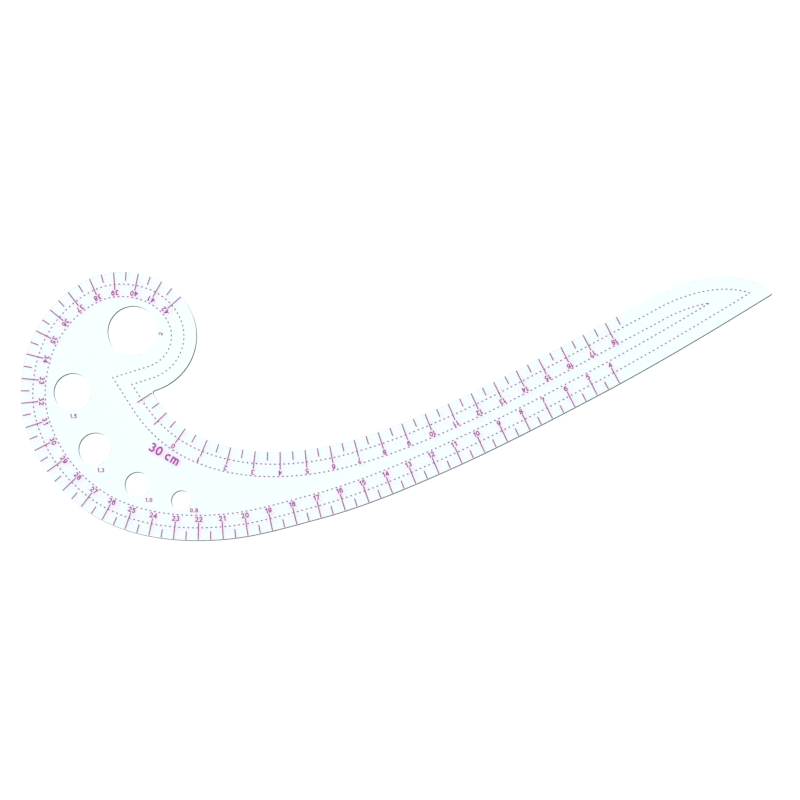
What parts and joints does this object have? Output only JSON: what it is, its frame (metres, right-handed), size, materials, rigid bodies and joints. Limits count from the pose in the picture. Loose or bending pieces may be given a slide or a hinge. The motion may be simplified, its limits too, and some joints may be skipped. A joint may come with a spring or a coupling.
{
  "type": "french curve",
  "caption": "Flat clear acrylic drafting curve with a hooked round head, a long tapering blade, a centimetre scale along both edges and a row of circle-template holes.",
  "frame": {"origin": "centre of the bounding box in plan, on the underside of the sheet", "axes": "+X from the hooked head to the blade's tip, +Y across the sheet towards the head's top, +Z out of the printed side"},
  "size_m": [0.3002, 0.1082, 0.002],
  "materials": {
    "clear_acrylic": "clear, faintly cyan, polished faces with cut edges",
    "printed_ink": "thin screen-printed magenta-violet ink"
  },
  "bodies": {
    "root": {"curve_plate": "clear_acrylic"}
  },
  "joints": []
}
